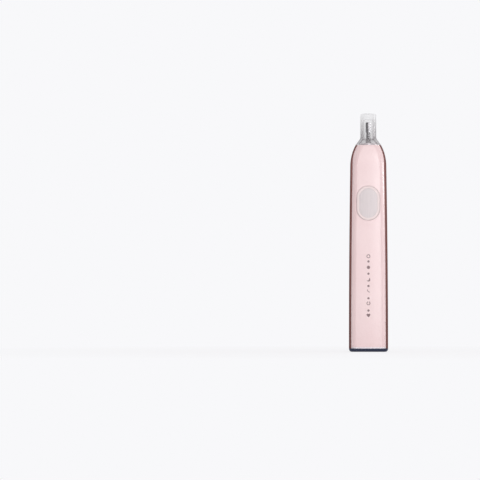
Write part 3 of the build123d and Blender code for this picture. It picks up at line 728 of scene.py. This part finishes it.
def make_floor(settings):
    mesh = bpy.data.meshes.new("floor")
    corners = [(u * FLOOR_HALF, v * FLOOR_HALF, 0)
               for u, v in ((-1, -1), (1, -1), (1, 1), (-1, 1))]
    mesh.from_pydata(corners, [], [(0, 1, 2, 3)])
    floor = bpy.data.objects.new("floor", mesh)
    bpy.context.scene.collection.objects.link(floor)
    finish = Finish("floor_paper", settings.backdrop, 0.9, Specular_IOR_Level=0.1)
    tree = finish.tree
    glow = finish.node("ShaderNodeEmission")
    glow.inputs["Color"].default_value = (*settings.backdrop, 1.0)
    far = finish.node("ShaderNodeVectorMath", operation="LENGTH")
    tree.links.new(finish.place(), far.inputs[0])
    away = finish.spread(far.outputs["Value"], settings.near_floor, 1.0, *FLOOR_SHADE_REACH)
    plain = finish.maths("MULTIPLY", away, seen_directly(tree))
    mix = finish.node("ShaderNodeMixShader")
    tree.links.new(plain, mix.inputs["Fac"])
    tree.links.new(finish.shader.outputs["BSDF"], mix.inputs[1])
    tree.links.new(glow.outputs["Emission"], mix.inputs[2])
    tree.links.new(mix.outputs["Shader"], tree.nodes["Material Output"].inputs["Surface"])
    mesh.materials.append(finish.material)


def make_lamp(name, azimuth, distance, size, level, height=CAP_TOP / 2, lift=0.0):
    """A soft box that faces the handle's axis. Level is how bright its face is."""
    data = bpy.data.lights.new(name, "AREA")
    data.shape = "RECTANGLE"
    data.size, data.size_y = size
    data.energy = level * math.pi * size[0] * size[1]
    lamp = bpy.data.objects.new(name, data)
    turn, tilt = math.radians(azimuth), math.radians(lift)
    aim = Vector((0, 0, height))
    away = Vector((math.sin(turn) * math.cos(tilt), -math.cos(turn) * math.cos(tilt),
                   math.sin(tilt)))
    lamp.location = aim + away * distance
    lamp.rotation_mode = "QUATERNION"
    lamp.rotation_quaternion = away.to_track_quat("Z", "Y")
    bpy.context.scene.collection.objects.link(lamp)


class SCRUBBER_OT_studio(bpy.types.Operator):
    """Make the camera, the lamps, the floor and the background"""
    bl_idname = "scrubber.studio"
    bl_label = "Studio"

    def execute(self, context):
        settings = context.scene.scrubber_studio
        data = bpy.data.cameras.new("camera")
        data.sensor_width = SENSOR_WIDTH
        data.lens = data.sensor_width * settings.distance / settings.view_width
        data.clip_end = FAR_CLIP
        camera = bpy.data.objects.new("camera", data)
        camera.location = (0, -settings.distance, settings.height)
        turn = math.atan2(settings.aside, settings.distance)
        rise = math.atan2(settings.sight_height - settings.height, settings.distance)
        camera.rotation_euler = (math.pi / 2 + rise, 0, turn)
        context.scene.collection.objects.link(camera)
        context.scene.camera = camera
        context.scene.view_settings.view_transform = "Standard"
        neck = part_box("drive_shaft")[1].z + NECK_LAMP_RISE
        make_lamp("front", azimuth=9, distance=2.6, size=(2.0, 1.8),
                  level=settings.front_level, lift=14)
        make_lamp("key", azimuth=11, distance=1.6, size=(0.34, 0.8),
                  level=settings.key_level, lift=8)
        make_lamp("side", azimuth=65, distance=1.5, size=(0.6, 1.0),
                  level=settings.side_level, lift=10)
        make_lamp("neck", azimuth=102, distance=0.7, size=(0.36, 0.12),
                  level=settings.neck_level, height=neck)
        make_lamp("top", azimuth=0, distance=1.0, size=(1.2, 1.2),
                  level=settings.top_level, lift=86)
        make_lamp("back", azimuth=180, distance=2.0, size=(1.6, 1.2),
                  level=settings.back_level, lift=48)
        make_world(settings)
        make_floor(settings)
        return {"FINISHED"}


# ---- Panel and registration --------------------------------------------------------
OPERATORS = (
    SCRUBBER_OT_studio,
    SCRUBBER_OT_shells,
    SCRUBBER_OT_base,
    SCRUBBER_OT_neck,
    SCRUBBER_OT_button,
    SCRUBBER_OT_inside,
    SCRUBBER_OT_windings,
)
SETTINGS = {
    "scrubber_shell": ShellSettings,
    "scrubber_base": BaseSettings,
    "scrubber_neck": NeckSettings,
    "scrubber_button": ButtonSettings,
    "scrubber_inside": InsideSettings,
    "scrubber_winding": WindingSettings,
    "scrubber_studio": StudioSettings,
}


class SCRUBBER_PT_panel(bpy.types.Panel):
    """The scrubber's settings and the steps that dress it"""
    bl_label = "Skin Scrubber"
    bl_idname = "SCRUBBER_PT_panel"
    bl_space_type = "VIEW_3D"
    bl_region_type = "UI"
    bl_category = "Scrubber"

    def draw(self, context):
        layout = self.layout
        for name, group in SETTINGS.items():
            box = layout.box()
            box.label(text=group.__name__.replace("Settings", ""))
            for key in group.__annotations__:
                box.prop(getattr(context.scene, name), key)
        for operator in OPERATORS:
            layout.operator(operator.bl_idname)


def register():
    for group in SETTINGS.values():
        bpy.utils.register_class(group)
    for operator in OPERATORS:
        bpy.utils.register_class(operator)
    bpy.utils.register_class(SCRUBBER_PT_panel)
    for name, group in SETTINGS.items():
        setattr(bpy.types.Scene, name, PointerProperty(type=group))


def unregister():
    for name in SETTINGS:
        delattr(bpy.types.Scene, name)
    bpy.utils.unregister_class(SCRUBBER_PT_panel)
    for operator in reversed(OPERATORS):
        bpy.utils.unregister_class(operator)
    for group in reversed(tuple(SETTINGS.values())):
        bpy.utils.unregister_class(group)


def main():
    register()
    for operator in OPERATORS:
        _, step = operator.bl_idname.split(".")
        getattr(bpy.ops.scrubber, step)()


if __name__ == "__main__":
    main()
